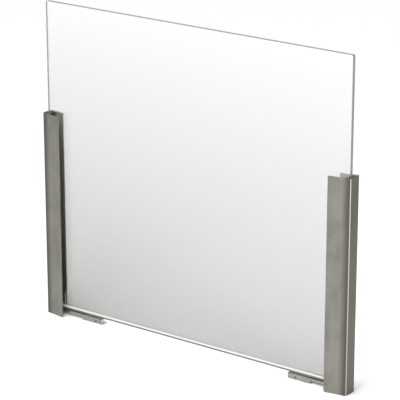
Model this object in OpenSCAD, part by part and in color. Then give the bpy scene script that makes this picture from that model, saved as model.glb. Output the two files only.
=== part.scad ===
// Countertop sneeze guard: one clear glass pane that stands in two bent sheet posts.
// X runs along the glass, the customer's side faces -Y, and the posts stand on Z = 0.

/* [Glass pane] */
// Width of the pane
glass_w = 500; // [300:5:900]
// Height of the pane
glass_h = 450; // [340:5:700]
// Thickness of the pane
glass_t = 6; // [5:0.5:8]
// Radius of the four corners of the pane
glass_corner_r = 2.5; // [1:0.5:15]
// Height of the pane's bottom edge above the counter
glass_lift = 10; // [9:0.5:16]

/* [Posts] */
// Height of each post
post_h = 300; // [150:5:320]
// Thickness of the post's sheet
sheet = 1.5; // [1:0.1:2]
// Depth of the web over the outer faces of its two bends
post_depth = 22; // [21:0.5:30]
// How far the front flange reaches in from the outer face of the web
front_flange = 32; // [26:1:45]
// How far the back flange reaches in from the outer face of the web
back_flange = 26; // [24:1:40]
// Angle by which both flanges lean towards the customer, in degrees
flare = 9; // [4:1:12]
// Inner radius of the bends
bend_r = 1.5; // [1:0.25:2.5]
// Radius of the flanges' free corners
flange_corner_r = 2; // [0.5:0.5:5]

/* [Glazing] */
// Distance from the outer face of the web to the edge of the glass
glass_inset = 5; // [4.5:0.5:8]
// Distance from the front bend to the middle of the glass
glass_setback = 9.5; // [8.5:0.25:10]
// How far each lip of the edge gasket covers the glass
gasket_cover = 4.5; // [3:0.5:7]
// Free gap on each side of the glass inside its gasket
slip_gap = 0.1; // [0.05:0.05:0.3]
// How far the gasket stops below the top of the post
gasket_drop = 1; // [0:0.5:10]

/* [Feet] */
// Thickness of the foot bracket's sheet
foot_sheet = 2; // [1.5:0.5:2.5]
// Thickness of the rubber pad under the glass
pad_t = 2; // [1:0.5:4]
// Where the turned-down tab begins, from the outer face of the web
tab_start = 60; // [50:1:80]
// Length of the turned-down tab
tab_len = 36; // [28:1:60]
// Diameter of the fixing hole in the tab
foot_hole_d = 4.5; // [3:0.1:5]
// Distance of the fixing hole from the free end of the tab
foot_hole_inset = 12; // [8:1:16]
// Height of the riveted lug above the seat
lug_h = 22; // [18:1:40]
// Diameter of the rivet shanks
rivet_d = 3.2; // [2.4:0.4:4]

/* [Hidden] */
$fn = 64;

steel = "silver";
rubber = "#26282a";

// Rivets: shank clearance, head, set tail, and where they sit on the lug
rivet_gap = 0.05;
rivet_head_d = 2 * rivet_d;
rivet_head_h = 1;
rivet_rim = 0.35;
rivet_tail_d = 1.6 * rivet_d;
rivet_tail_h = 1.4;
rivet_edge = 5.5;

// Bends, and the straight length of each flange
bend_steps = 14;
outer_r = bend_r + sheet;
front_len = (front_flange - outer_r + outer_r * sin(flare)) / cos(flare);
back_len = (back_flange - outer_r - outer_r * sin(flare)) / cos(flare);

// Lug of the foot bracket, along the back flange
lug_start = 1;
lug_end = back_len - 2;
rivet_places = [lug_start + rivet_edge, lug_end - rivet_edge];

// Places across the depth, with the whole object centred on Y = 0
flare_reach = front_len * sin(flare) + outer_r * cos(flare) - outer_r;
rivet_top = (outer_r + rivet_head_h) * cos(flare) - rivet_places[0] * sin(flare);
back_reach = max(0, rivet_top - outer_r);
front_y = (flare_reach - post_depth - back_reach) / 2;
glass_y = front_y + glass_setback;
glass_front_y = glass_y - glass_t / 2;
glass_back_y = glass_y + glass_t / 2;

// Axes of the two bends, in X and Y from the outer face of the web
front_axis = [outer_r, front_y + outer_r];
back_axis = [outer_r, front_y + post_depth - outer_r];

// Distance from the middle of the pane to the outer face of a web
half_w = glass_w / 2 + glass_inset;

// Heights of the seat under the glass, the lug and its rivets, which sit at a share of the lug's height
seat_top = glass_lift - pad_t;
seat_bottom = seat_top - foot_sheet;
lug_top = seat_top + lug_h;
rivet_share = 0.55;
rivet_z = seat_top + rivet_share * lug_h;

// Turned-down tab and its fixing hole
tab_end = tab_start + tab_len;
tab_corner_r = 1.5;
foot_fillet_r = 0.8;
foot_hole_x = tab_end - foot_hole_inset;
foot_hole_share = 0.62;
foot_hole_z = foot_hole_share * seat_bottom;

// Rubber: gaps to the glass and the steel, and how far the pad runs past the start of the tab
slot_gap = 0.3;
fit_gap = 0.05;
pad_overlap = 1;
pad_gap = 1;
gasket_end = glass_inset + gasket_cover;

// Point on a flange: along it from its bend, and out from the middle of the bend
function flange_point(axis, along, out) =
    axis + along * [cos(flare), -sin(flare)] + out * [sin(flare), cos(flare)];

// Y of a flange's inner face at a distance x from the outer face of the web
function inner_y(x, axis, out) =
    axis.y + out * cos(flare) - (x - axis.x - out * sin(flare)) * tan(flare);

// Points along an arc, from one angle to another
function arc(centre, r, from, to) =
    [for (i = [0:bend_steps]) centre + r * direction(from + (to - from) * i / bend_steps)];

function direction(angle) = [cos(angle), sin(angle)];

// Section of the post in X and Y: from the outer front bend round to the outer back bend
post_section = concat(
    arc(front_axis, outer_r, 180, 270 - flare),
    [flange_point(front_axis, front_len, -outer_r), flange_point(front_axis, front_len, -bend_r)],
    arc(front_axis, bend_r, 270 - flare, 180),
    arc(back_axis, bend_r, 180, 90 - flare),
    [flange_point(back_axis, back_len, bend_r), flange_point(back_axis, back_len, outer_r)],
    arc(back_axis, outer_r, 90 - flare, 180)
);

// Moves a part that is drawn from the left outer face, X = 0 inwards, to the left side
module on_left() {
    translate([-half_w, 0, 0]) children();
}

// The same part mirrored to the right side
module on_right() {
    mirror([1, 0, 0]) on_left() children();
}

// Draws with X along a flange from its bend, and Y out through its faces
module along_flange(axis) {
    translate([axis.x, axis.y, 0]) rotate([0, 0, -flare]) children();
}

// Takes off the lower corner of a plate on the -X side, with that corner at the origin
module corner_cut(r, depth) {
    difference() {
        translate([-r, -depth / 2, -1]) cube([2 * r, depth, r + 1]);
        translate([-r, 0, r]) rotate([90, 0, 0]) cylinder(r = r, h = depth + 2, center = true);
    }
}

// Takes off the two free corners of a flange whose tip is at X = 0
module flange_corner_cuts() {
    for (end = [0, 1])
        translate([0, 0, end * post_h]) mirror([0, 0, end]) corner_cut(flange_corner_r, 4 * outer_r);
}

// Holes for both rivets, through the lug and the back flange
module rivet_holes() {
    along_flange(back_axis)
        for (x = rivet_places)
            translate([x, bend_r - foot_sheet - 1, rivet_z])
                rotate([-90, 0, 0]) cylinder(d = rivet_d + 2 * rivet_gap, h = foot_sheet + sheet + 2);
}

// Post: one bent sheet, with rounded free corners and the rivet holes in its back flange
module post() {
    difference() {
        linear_extrude(post_h) polygon(post_section);
        along_flange(front_axis) translate([front_len, -outer_r, 0]) flange_corner_cuts();
        along_flange(back_axis) translate([back_len, outer_r, 0]) flange_corner_cuts();
        rivet_holes();
    }
}

// Rubber profile that grips the edge of the glass and fills the channel beside the web
module edge_gasket() {
    web_x = sheet + fit_gap;
    corner = bend_r + slot_gap;
    front_corner_y = front_axis.y - outer_r + sheet + corner;
    back_corner_y = back_axis.y + outer_r - sheet - corner;
    translate([0, 0, lug_top])
        linear_extrude(post_h - gasket_drop - lug_top)
            difference() {
                polygon([
                    [web_x, front_corner_y],
                    [web_x + corner, inner_y(web_x + corner, front_axis, -bend_r) + fit_gap],
                    [gasket_end, inner_y(gasket_end, front_axis, -bend_r) + fit_gap],
                    [gasket_end, inner_y(gasket_end, back_axis, bend_r) - fit_gap],
                    [web_x + corner, inner_y(web_x + corner, back_axis, bend_r) - fit_gap],
                    [web_x, back_corner_y],
                ]);
                translate([glass_inset - slot_gap, glass_front_y - slip_gap])
                    square([gasket_end, glass_t + 2 * slip_gap]);
            }
}

// Fillet in the inner corner of a foot bend: 0 sits below and behind it, 180 above and in front
module foot_fillet(turn) {
    rotate(turn)
        difference() {
            translate([0, -foot_fillet_r]) square(foot_fillet_r);
            translate([foot_fillet_r, -foot_fillet_r]) circle(foot_fillet_r);
        }
}

// Shape drawn in Y and Z, run along X from one place to another
module run_along_x(from, to) {
    translate([from, 0, 0]) rotate([90, 0, 90]) linear_extrude(to - from) children();
}

// Foot bracket: seat under the glass, riveted lug inside the post and drilled tab in front
module foot_bracket() {
    seat_near = flange_point(back_axis, lug_start + foot_sheet / 2, bend_r - foot_sheet / 2);
    seat_far = flange_point(back_axis, lug_end - foot_sheet / 2, bend_r - foot_sheet / 2);
    difference() {
        union() {
            run_along_x(seat_near.x, tab_end)
                translate([glass_front_y, seat_bottom]) square([seat_far.y - glass_front_y, foot_sheet]);
            foot_seat_corner(seat_near, seat_far);
            foot_lug();
            foot_tab();
        }
        rivet_holes();
        translate([foot_hole_x, glass_front_y - 1, foot_hole_z])
            rotate([-90, 0, 0]) cylinder(d = foot_hole_d, h = foot_sheet + 2);
    }
}

// Corner of the seat between its straight back edge and the lug
module foot_seat_corner(near, far) {
    front_edge_y = far.y - foot_sheet;
    translate([0, 0, seat_bottom])
        linear_extrude(foot_sheet)
            polygon([[near.x, front_edge_y], [far.x, front_edge_y], far, near]);
}

// Lug that stands up from the seat against the inside of the back flange
module foot_lug() {
    along_flange(back_axis)
        run_along_x(lug_start, lug_end)
            translate([bend_r - foot_sheet, 0]) {
                translate([0, seat_bottom]) square([foot_sheet, lug_top - seat_bottom]);
                translate([0, seat_top]) foot_fillet(180);
            }
}

// Tab turned down in front, flush with the front of the glass
module foot_tab() {
    difference() {
        run_along_x(tab_start, tab_end)
            translate([glass_front_y, 0]) {
                square([foot_sheet, seat_top]);
                translate([0, seat_bottom]) square([2 * foot_sheet, foot_sheet]);
                translate([foot_sheet, seat_bottom]) foot_fillet(0);
            }
        for (end = [0, 1])
            translate([end ? tab_end : tab_start, glass_front_y + foot_sheet / 2, 0])
                mirror([1 - end, 0, 0]) corner_cut(tab_corner_r, foot_sheet + 2);
    }
}

// Rubber pad on the seat, in front of the lug: the bottom edge of the glass stands on it
module seat_pad() {
    pad_len = tab_start + pad_overlap - glass_inset;
    pad_back_y = flange_point(back_axis, lug_end, bend_r - foot_sheet).y - pad_gap;
    translate([glass_inset, glass_front_y, seat_top])
        cube([pad_len, pad_back_y - glass_front_y, pad_t]);
}

// Rivet through the lug and the back flange, with its domed head on the staff side
module rivet(place) {
    lug_face = bend_r - foot_sheet;
    along_flange(back_axis)
        translate([place, 0, rivet_z])
            rotate([-90, 0, 0]) {
                translate([0, 0, lug_face - rivet_tail_h])
                    cylinder(d = rivet_tail_d, h = rivet_tail_h);
                translate([0, 0, lug_face - rivet_tail_h / 2])
                    cylinder(d = rivet_d, h = outer_r - lug_face + rivet_tail_h);
                translate([0, 0, outer_r]) rivet_head();
            }
}

// Head with a low dome on a short rim
module rivet_head() {
    r = rivet_head_d / 2;
    rim = rivet_head_h * rivet_rim;
    rise = rivet_head_h - rim;
    dome_r = (r * r + rise * rise) / (2 * rise);
    cylinder(d = rivet_head_d, h = rim);
    translate([0, 0, rim])
        intersection() {
            cylinder(d = rivet_head_d, h = rise);
            translate([0, 0, rise - dome_r]) sphere(dome_r);
        }
}

module glass_pane() {
    r = glass_corner_r;
    color([0.86, 0.93, 0.92, 0.4])
        translate([-glass_w / 2, glass_back_y, glass_lift])
            rotate([90, 0, 0])
                linear_extrude(glass_t) {
                    translate([r, 0]) square([glass_w - 2 * r, glass_h]);
                    translate([0, r]) square([glass_w, glass_h - 2 * r]);
                    for (x = [r, glass_w - r], z = [r, glass_h - r]) translate([x, z]) circle(r);
                }
}

module left_post() {
    color(steel) on_left() post();
}

module right_post() {
    color(steel) on_right() post();
}

module left_edge_gasket() {
    color(rubber) on_left() edge_gasket();
}

module right_edge_gasket() {
    color(rubber) on_right() edge_gasket();
}

module left_foot_bracket() {
    color(steel) on_left() foot_bracket();
}

module right_foot_bracket() {
    color(steel) on_right() foot_bracket();
}

module left_seat_pad() {
    color(rubber) on_left() seat_pad();
}

module right_seat_pad() {
    color(rubber) on_right() seat_pad();
}

module left_outer_rivet() {
    color(steel) on_left() rivet(rivet_places[0]);
}

module left_inner_rivet() {
    color(steel) on_left() rivet(rivet_places[1]);
}

module right_outer_rivet() {
    color(steel) on_right() rivet(rivet_places[0]);
}

module right_inner_rivet() {
    color(steel) on_right() rivet(rivet_places[1]);
}

glass_pane();
left_post();
right_post();
left_edge_gasket();
right_edge_gasket();
left_foot_bracket();
right_foot_bracket();
left_seat_pad();
right_seat_pad();
left_outer_rivet();
left_inner_rivet();
right_outer_rivet();
right_inner_rivet();
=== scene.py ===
"""Looks for a countertop sneeze guard: one glass pane in two bent stainless posts.

Everything is in metres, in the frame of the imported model: X runs along the glass,
the customer's side faces -Y, and the posts stand on Z = 0.
"""

import math

import bpy
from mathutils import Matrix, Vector


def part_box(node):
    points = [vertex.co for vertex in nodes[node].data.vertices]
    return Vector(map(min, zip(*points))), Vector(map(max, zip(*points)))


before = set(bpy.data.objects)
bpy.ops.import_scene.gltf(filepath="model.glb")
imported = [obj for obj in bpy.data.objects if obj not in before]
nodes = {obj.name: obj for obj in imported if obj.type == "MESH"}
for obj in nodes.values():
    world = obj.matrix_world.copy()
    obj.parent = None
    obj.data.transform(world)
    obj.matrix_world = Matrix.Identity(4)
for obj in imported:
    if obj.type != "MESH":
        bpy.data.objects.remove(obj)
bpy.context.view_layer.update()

MM = 0.001

POSTS = ["left_post", "right_post"]
FEET = ["left_foot_bracket", "right_foot_bracket"]
GASKETS = ["left_edge_gasket", "right_edge_gasket"]
PADS = ["left_seat_pad", "right_seat_pad"]
RIVETS = ["left_outer_rivet", "left_inner_rivet", "right_outer_rivet", "right_inner_rivet"]

glass_low, glass_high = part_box("glass_pane")
glass_y = (glass_low.y + glass_high.y) / 2

# The outer face of each post's web is this far from the middle
web_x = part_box("right_post")[1].x


# ---------------------------------------------------------------- materials

# A Mix node has sockets for every kind of data, and these are the numbers of its colour sockets
COLOUR_A = 6
COLOUR_B = 7
COLOUR_RESULT = 2


class Material:
    """A node material with one Principled shader, and short ways to add and join nodes."""

    def __init__(self, name):
        self.material = bpy.data.materials.new(name)
        self.material.use_nodes = True
        self.tree = self.material.node_tree
        self.tree.nodes.clear()
        self.output = self.add("ShaderNodeOutputMaterial")
        self.shader = self.add("ShaderNodeBsdfPrincipled")
        self.join(self.shader.outputs["BSDF"], self.output.inputs["Surface"])

    def add(self, kind, **settings):
        node = self.tree.nodes.new(kind)
        for key, value in settings.items():
            setattr(node, key, value)
        return node

    def join(self, source, target):
        self.tree.links.new(source, target)

    def feed(self, target, value):
        """Puts a value, or another node's output, into a socket."""
        if isinstance(value, bpy.types.NodeSocket):
            self.join(value, target)
        else:
            target.default_value = value

    def places(self, scale=(1, 1, 1)):
        """Points on the object in metres, stretched by scale."""
        coordinates = self.add("ShaderNodeTexCoord")
        mapping = self.add("ShaderNodeMapping")
        mapping.inputs["Scale"].default_value = scale
        self.join(coordinates.outputs["Object"], mapping.inputs["Vector"])
        return mapping.outputs["Vector"]

    def facing(self):
        """The direction that the surface faces."""
        return self.add("ShaderNodeNewGeometry").outputs["Normal"]

    def axis(self, vector, letter):
        """One coordinate of a vector."""
        node = self.add("ShaderNodeSeparateXYZ")
        self.join(vector, node.inputs["Vector"])
        return node.outputs[letter]

    def noise(self, scale, detail=3.0, roughness=0.5):
        """Noise from 0 to 1 with that many features per metre along X, Y and Z."""
        texture = self.add("ShaderNodeTexNoise")
        self.join(self.places(scale), texture.inputs["Vector"])
        texture.inputs["Scale"].default_value = 1.0
        texture.inputs["Detail"].default_value = detail
        texture.inputs["Roughness"].default_value = roughness
        return texture.outputs["Fac"]

    def spread(self, value, low, high, to_low, to_high):
        """Maps low..high to to_low..to_high, and stops at both ends."""
        node = self.add("ShaderNodeMapRange")
        self.feed(node.inputs["Value"], value)
        ends = {"From Min": low, "From Max": high, "To Min": to_low, "To Max": to_high}
        for name, number in ends.items():
            node.inputs[name].default_value = number
        return node.outputs["Result"]

    def calculate(self, operation, a, b=0.0):
        node = self.add("ShaderNodeMath", operation=operation)
        self.feed(node.inputs[0], a)
        self.feed(node.inputs[1], b)
        return node.outputs[0]

    def blend(self, amount, a, b):
        """A colour between a and b."""
        node = self.add("ShaderNodeMix", data_type="RGBA")
        self.feed(node.inputs["Factor"], amount)
        self.feed(node.inputs[COLOUR_A], a)
        self.feed(node.inputs[COLOUR_B], b)
        return node.outputs[COLOUR_RESULT]

    def mix_shaders(self, amount, a, b):
        node = self.add("ShaderNodeMixShader")
        self.feed(node.inputs["Fac"], amount)
        self.join(a, node.inputs[1])
        self.join(b, node.inputs[2])
        return node.outputs["Shader"]

    def bump(self, height, distance, strength):
        """Bumps the shader's normal by that height, in metres at height 1."""
        node = self.add("ShaderNodeBump")
        node.inputs["Strength"].default_value = strength
        node.inputs["Distance"].default_value = distance
        self.join(height, node.inputs["Height"])
        self.join(node.outputs["Normal"], self.shader.inputs["Normal"])


def grey(level, warmth=0.0):
    """A grey colour, warmer where warmth is above 0 and cooler below."""
    return (level * (1 + warmth), level, level * (1 - warmth), 1.0)


def warm_grey(level):
    """The slightly olive grey of stainless steel under warm lamps."""
    return (level * 1.022, level, level * 0.885, 1.0)


def bend_shade_and_highlight(m, place, brushed):
    """The brushed colour with painted shade in a strip beside each bend and over the web, and a painted
    highlight along each bend.
    """
    painted_bend_shade = (0.098, 0.092, 0.076, 1)
    painted_web_shade = (0.112, 0.102, 0.083, 1)
    painted_bend_highlight = warm_grey(0.40)
    out = m.calculate("ABSOLUTE", m.axis(place, "X"))

    def from_web(start, full, most=1.0):
        """A painted band that starts, and is full, at those distances from the web's outer face."""
        return m.spread(out, web_x - start, web_x - full, 0, most)

    # Painted shade in a strip beside the bend, a painted highlight along the bend, and painted shade over the
    # web
    tone = m.blend(from_web(12 * MM, 3.5 * MM, 0.95), brushed, painted_bend_shade)
    tone = m.blend(from_web(1.3 * MM, 0.9 * MM), tone, painted_bend_highlight)
    return m.blend(from_web(0.3 * MM, 0.15 * MM), tone, m.blend(0.8, brushed, painted_web_shade))


def inside_channel(m, place, inside_x):
    """1 on the faces inside a channel, which look back towards the middle of the glass, and 0 elsewhere.

    A face that looks back along X counts from inside_x outwards.
    """
    fade_y = 0.5 * MM
    fade_x = 5 * MM
    facing = m.facing()
    from_glass = m.calculate("SUBTRACT", m.axis(place, "Y"), glass_y)
    deep = m.calculate("MULTIPLY", m.axis(facing, "Y"), from_glass)
    across = m.calculate("MULTIPLY", m.axis(facing, "X"), m.axis(place, "X"))
    flange = m.spread(deep, 0, -fade_y, 0, 1)
    web = m.spread(across, -inside_x, -inside_x - fade_x, 0, 1)
    return m.calculate("MAXIMUM", flange, web)


def brushed_steel(name, inside_x, level=1.0):
    """Stainless sheet: brushed upright outside, a mill finish inside painted far paler as painted light
    reaching into the channel, and painted shade and a painted highlight at each bend.
    """
    m = Material(name)
    m.shader.inputs["Metallic"].default_value = 1.0
    place = m.places()
    grain = m.noise((2600, 2600, 16), detail=4)
    streaks = m.noise((900, 900, 6), detail=3)
    smears = m.noise((30, 30, 12), detail=4, roughness=0.6)
    smudges = m.noise((38, 38, 22), detail=5, roughness=0.6)

    tone = m.blend(m.spread(streaks, 0.3, 0.7, 0, 1), warm_grey(0.227 * level), warm_grey(0.248 * level))
    tone = m.blend(m.spread(smears, 0.42, 0.70, 0, 0.7), tone, warm_grey(0.186 * level))
    tone = m.blend(m.spread(smudges, 0.50, 0.72, 0, 0.75), tone, warm_grey(0.159 * level))
    # Painted shade beside each bend and on the web, and a painted highlight along each bend
    tone = bend_shade_and_highlight(m, place, tone)

    inner = inside_channel(m, place, inside_x)
    # The mill finish inside is partly real and partly painted light: far paler than the outside, standing in
    # for light reaching into the channel
    mill_and_painted_light = m.blend(m.spread(smears, 0.4, 0.7, 0, 1), warm_grey(0.82), warm_grey(0.70))
    m.feed(m.shader.inputs["Base Color"], m.blend(inner, tone, mill_and_painted_light))

    rough = m.calculate("ADD", m.spread(grain, 0.25, 0.75, 0.33, 0.42), m.spread(smears, 0.4, 0.75, 0, 0.06))
    rough = m.calculate("ADD", rough, m.calculate("MULTIPLY", inner, 0.16))
    m.feed(m.shader.inputs["Roughness"], rough)
    m.bump(grain, 0.02 * MM, 0.6)
    return m.material


def clear_glass(name):
    """Clear sheet glass, darker evenly towards its foot by painted shade, with finely ground edges, a painted
    shadow seam along the bottom and a painted pale strip of light over it.
    """
    painted_foot_shade = (0.415, 0.420, 0.413, 1)
    painted_shade_top = (0.995, 1.0, 0.997, 1)
    shadow_seam_h = 2.8 * MM
    fade_h = 0.2 * shadow_seam_h
    m = Material(name)
    shader = m.shader
    shader.inputs["IOR"].default_value = 1.5
    height = m.axis(m.places(), "Z")
    # Painted shade: the glass is coloured darker evenly towards its foot
    painted_shade_gradient = m.blend(m.spread(height, glass_low.z, glass_high.z, 0, 1), painted_foot_shade, painted_shade_top)

    def below(level):
        """1 below that height over the foot of the glass, and 0 above it, with a short fade."""
        middle = glass_low.z + level
        return m.spread(height, middle + fade_h / 2, middle - fade_h / 2, 0, 1)

    # Every edge is ground matt. Along the bottom runs a dark seam of painted shadow, with a pale strip of
    # painted light as high over it.
    edge = m.spread(m.calculate("ABSOLUTE", m.axis(m.facing(), "Y")), 0.95, 0.6, 0, 1)
    painted_shadow_seam = below(shadow_seam_h)
    painted_light_strip = below(2 * shadow_seam_h)
    matt = m.calculate("MULTIPLY", m.calculate("MAXIMUM", edge, painted_light_strip), 0.92)
    bottom = m.blend(painted_shadow_seam, grey(0.74, 0.02), grey(0.125, 0.03))
    ground = m.blend(painted_light_strip, grey(0.195), bottom)
    m.feed(shader.inputs["Transmission Weight"], m.calculate("SUBTRACT", 1.0, matt))
    m.feed(shader.inputs["Base Color"], m.blend(matt, painted_shade_gradient, ground))
    dust = m.noise((9, 9, 12), detail=5, roughness=0.65)
    smooth = m.spread(dust, 0.5, 0.8, 0.0, 0.03)
    m.feed(shader.inputs["Roughness"], m.calculate("ADD", smooth, m.calculate("MULTIPLY", matt, 0.5)))

    # Lamp light passes at one strength, so that the shadow stays paler than the glass's painted shade
    clear = m.add("ShaderNodeBsdfTransparent")
    clear.inputs["Color"].default_value = grey(0.93)
    lamp_ray = m.add("ShaderNodeLightPath").outputs["Is Shadow Ray"]
    either = m.mix_shaders(lamp_ray, shader.outputs["BSDF"], clear.outputs["BSDF"])
    m.join(either, m.output.inputs["Surface"])
    return m.material


def black_rubber(name, level):
    """Matt black rubber with a fine grain and a little pale dust."""
    m = Material(name)
    grain = m.noise((1800, 1800, 1800), detail=2)
    dust = m.noise((60, 60, 40), detail=4, roughness=0.6)
    tone = m.blend(m.spread(dust, 0.5, 0.8, 0, 1), grey(level, 0.03), grey(level * 1.9, 0.06))
    m.feed(m.shader.inputs["Base Color"], tone)
    m.feed(m.shader.inputs["Roughness"], m.spread(dust, 0.3, 0.7, 0.62, 0.8))
    m.shader.inputs["Specular IOR Level"].default_value = 0.35
    m.bump(grain, 0.04 * MM, 0.7)
    return m.material


def rivet_steel(name):
    """Plain stainless rivets, tumbled rather than brushed."""
    m = Material(name)
    m.shader.inputs["Metallic"].default_value = 1.0
    pits = m.noise((1400, 1400, 1400), detail=3)
    tone = m.blend(m.spread(pits, 0.3, 0.7, 0, 1), warm_grey(0.27), warm_grey(0.32))
    m.feed(m.shader.inputs["Base Color"], tone)
    m.feed(m.shader.inputs["Roughness"], m.spread(pits, 0.3, 0.7, 0.28, 0.38))
    m.bump(pits, 0.02 * MM, 0.5)
    return m.material


# ---------------------------------------------------------------- edges and shading

def clean_surface():
    """A modifier group that joins a node's faces along their edges and shades them smooth."""
    group = bpy.data.node_groups.new("joined_faces", "GeometryNodeTree")
    group.is_modifier = True
    for way in ("INPUT", "OUTPUT"):
        group.interface.new_socket("Geometry", in_out=way, socket_type="NodeSocketGeometry")
    source = group.nodes.new("NodeGroupInput")
    target = group.nodes.new("NodeGroupOutput")
    merge = group.nodes.new("GeometryNodeMergeByDistance")
    merge.inputs["Distance"].default_value = 0.002 * MM
    normal = group.nodes.new("GeometryNodeSetMeshNormal")
    normal.mode = "SHARPNESS"
    group.links.new(source.outputs[0], merge.inputs[0])
    group.links.new(merge.outputs[0], normal.inputs[0])
    group.links.new(normal.outputs[0], target.inputs[0])
    return group


def round_edges(piece, width, segments):
    """Breaks a piece's sharp edges by that width, and keeps its flat faces flat."""
    piece.modifiers.new("joined_faces", "NODES").node_group = joined_faces
    flats = piece.modifiers.new("whole_flats", "DECIMATE")
    flats.decimate_type = "DISSOLVE"
    flats.angle_limit = math.radians(0.4)
    bevel = piece.modifiers.new("broken_edges", "BEVEL")
    bevel.width = width
    bevel.segments = segments
    bevel.limit_method = "ANGLE"
    bevel.angle_limit = math.radians(35)
    bevel.use_clamp_overlap = False
    bevel.loop_slide = False
    shade = piece.modifiers.new("flat_faces", "WEIGHTED_NORMAL")
    shade.weight = 100


def give(names, material, width, segments=2):
    """Gives pieces their material, and breaks their edges by that width."""
    for name in names:
        piece = nodes[name]
        for slot in piece.material_slots:
            slot.material = material
        round_edges(piece, width, segments)


joined_faces = clean_surface()

# On the posts only the web counts as a face that looks back, and the sheet's cut ends stay as dark as its
# outside. On the brackets the ends of the tabs count too, and take the paler inside colour with its painted
# light.
give(POSTS, brushed_steel("brushed_stainless", inside_x=web_x - 10 * MM), 0.2 * MM)
give(FEET, brushed_steel("foot_stainless", inside_x=150 * MM, level=1.3), 0.1 * MM)
give(["glass_pane"], clear_glass("clear_glass"), 0.8 * MM, segments=3)
give(GASKETS, black_rubber("gasket_rubber", level=0.05), 0.3 * MM)
give(PADS, black_rubber("pad_rubber", level=0.024), 0.3 * MM)
give(RIVETS, rivet_steel("plain_stainless"), 0.1 * MM)


# ---------------------------------------------------------------- floor, light and camera

def place_in_scene(name, data):
    """A new object in the scene that holds that mesh, lamp or camera."""
    thing = bpy.data.objects.new(name, data)
    bpy.context.scene.collection.objects.link(thing)
    return thing


def floor(half):
    """A plain, pale floor that reaches that far each way."""
    corners = [(-half, -half, 0), (half, -half, 0), (half, half, 0), (-half, half, 0)]
    mesh = bpy.data.meshes.new("floor")
    mesh.from_pydata(corners, [], [(0, 1, 2, 3)])
    plane = place_in_scene("floor", mesh)
    m = Material("pale_floor")
    m.shader.inputs["Base Color"].default_value = grey(0.88)
    m.shader.inputs["Roughness"].default_value = 0.9
    m.shader.inputs["Specular IOR Level"].default_value = 0.1
    mesh.materials.append(m.material)


def around(azimuth, elevation, distance, centre):
    """A point seen from the centre at that azimuth, 0 on the customer's side, and elevation in degrees."""
    a = math.radians(azimuth)
    e = math.radians(elevation)
    way = Vector((math.sin(a) * math.cos(e), -math.cos(a) * math.cos(e), math.sin(e)))
    return centre + distance * way


def face_centre(thing, centre):
    """Turns a lamp or camera to look at the centre."""
    thing.rotation_euler = (centre - thing.location).to_track_quat("-Z", "Y").to_euler()


def soft_box(name, place, aim, width, height, watts):
    """A rectangular lamp at that place, turned to the aim."""
    lamp = bpy.data.lights.new(name, "AREA")
    lamp.shape = "RECTANGLE"
    lamp.size = width
    lamp.size_y = height
    lamp.energy = watts
    thing = place_in_scene(name, lamp)
    thing.location = place
    face_centre(thing, aim)


def ceiling_light(azimuth, elevation, strength):
    """A very soft light from that side, as strong all over the floor."""
    lamp = bpy.data.lights.new("ceiling_light", "SUN")
    lamp.energy = strength
    lamp.angle = math.radians(60)
    thing = place_in_scene("ceiling_light", lamp)
    origin = Vector((0, 0, 0))
    thing.location = around(azimuth, elevation, 4, origin)
    face_centre(thing, origin)


def world_light(level):
    """An even white light from all sides."""
    world = bpy.data.worlds.new("studio")
    world.use_nodes = True
    background = world.node_tree.nodes["Background"]
    background.inputs["Color"].default_value = (1, 1, 1, 1)
    background.inputs["Strength"].default_value = level
    bpy.context.scene.world = world


def camera(azimuth, elevation, distance, centre, lens):
    """A camera with a long lens in millimetres, turned to the centre."""
    data = bpy.data.cameras.new("camera")
    data.sensor_width = 36.0
    data.lens = lens
    data.clip_end = 60.0
    thing = place_in_scene("camera", data)
    thing.location = around(azimuth, elevation, distance, centre)
    face_centre(thing, centre)
    bpy.context.scene.camera = thing


floor(half=12.0)
world_light(0.40)
ceiling_light(azimuth=-30, elevation=68, strength=2.42)
soft_box(
    "front_light", place=Vector((0.15, -1.05, 1.1)), aim=Vector((0.1, -0.7, 0)),
    width=0.7, height=0.7, watts=9.7,
)
soft_box(
    "side_light", place=around(66, 14, 1.15, Vector((0.25, 0, 0.15))), aim=Vector((0, 0, 0.15)),
    width=0.25, height=0.7, watts=4.4,
)
camera(azimuth=36.1, elevation=18.7, distance=2.85, centre=Vector((0.012, 0.0, 0.2215)), lens=190.5)
bpy.context.scene.view_settings.view_transform = "Standard"
